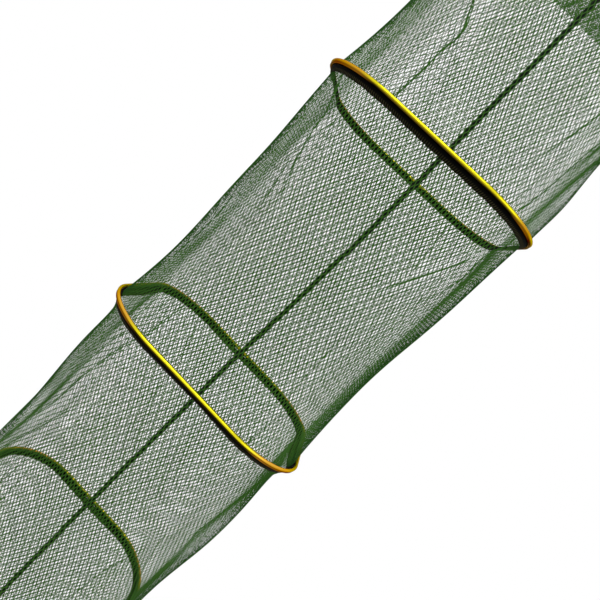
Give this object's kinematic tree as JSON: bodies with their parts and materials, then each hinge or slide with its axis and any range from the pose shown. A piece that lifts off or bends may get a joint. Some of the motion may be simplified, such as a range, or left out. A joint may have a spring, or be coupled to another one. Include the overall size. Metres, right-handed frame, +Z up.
{
  "type": "fishing keepnet",
  "caption": "Long netting tube held open by rounded-square metal hoops that slide together, closed at the foot, with a screw-in head block.",
  "frame": {"origin": "on the axis of the head block's stud, in the plane of the shoulder that seats on a bank stick", "axes": "+Z up along the hanging net towards its mouth, +Y from the stud towards the middle of the net, +X to the right of someone facing along +Y"},
  "size_m": [0.3488, 0.3813, 2.1285],
  "materials": {
    "gold_metal": "gold anodised, bright",
    "ribbed_tape": "black ribbed binding tape",
    "netting": "green knotless netting",
    "seam": "dark green sewn seam",
    "moulded_nylon": "moulded black nylon, matt",
    "stud_brass": "turned brass",
    "screw_steel": "stainless steel"
  },
  "bodies": {
    "mouth": {"mouth_hoop": "gold_metal", "mouth_tape": "ribbed_tape", "mouth_collar": "netting", "head_block": "moulded_nylon", "head_clamp": "moulded_nylon", "head_screw_left": "screw_steel", "head_screw_right": "screw_steel", "head_stud": "stud_brass", "net_1": "netting", "seam_1": "seam"},
    "ring_1": {"ring_1_hoop": "gold_metal", "ring_1_tape": "ribbed_tape", "net_2": "netting", "seam_2": "seam"},
    "ring_2": {"ring_2_hoop": "gold_metal", "ring_2_tape": "ribbed_tape", "net_3": "netting", "seam_3": "seam"},
    "ring_3": {"ring_3_hoop": "gold_metal", "ring_3_tape": "ribbed_tape", "net_4": "netting", "seam_4": "seam"},
    "ring_4": {"ring_4_hoop": "gold_metal", "ring_4_tape": "ribbed_tape", "net_5": "netting", "seam_5": "seam"},
    "ring_5": {"ring_5_hoop": "gold_metal", "ring_5_tape": "ribbed_tape", "base_net": "netting"}
  },
  "joints": [
    {"name": "ring_1_slide", "type": "slide", "parent": "mouth", "child": "ring_1", "axis": [0, 0, 1], "range_m": [0, 0.385], "deforming": ["net_1", "seam_1", "mouth_collar"]},
    {"name": "ring_2_slide", "type": "slide", "parent": "ring_1", "child": "ring_2", "axis": [0, 0, 1], "range_m": [0, 0.385], "deforming": ["net_2", "seam_2"]},
    {"name": "ring_3_slide", "type": "slide", "parent": "ring_2", "child": "ring_3", "axis": [0, 0, 1], "range_m": [0, 0.385], "deforming": ["net_3", "seam_3"]},
    {"name": "ring_4_slide", "type": "slide", "parent": "ring_3", "child": "ring_4", "axis": [0, 0, 1], "range_m": [0, 0.385], "deforming": ["net_4", "seam_4"]},
    {"name": "ring_5_slide", "type": "slide", "parent": "ring_4", "child": "ring_5", "axis": [0, 0, 1], "range_m": [0, 0.385], "deforming": ["net_5", "seam_5"]}
  ]
}
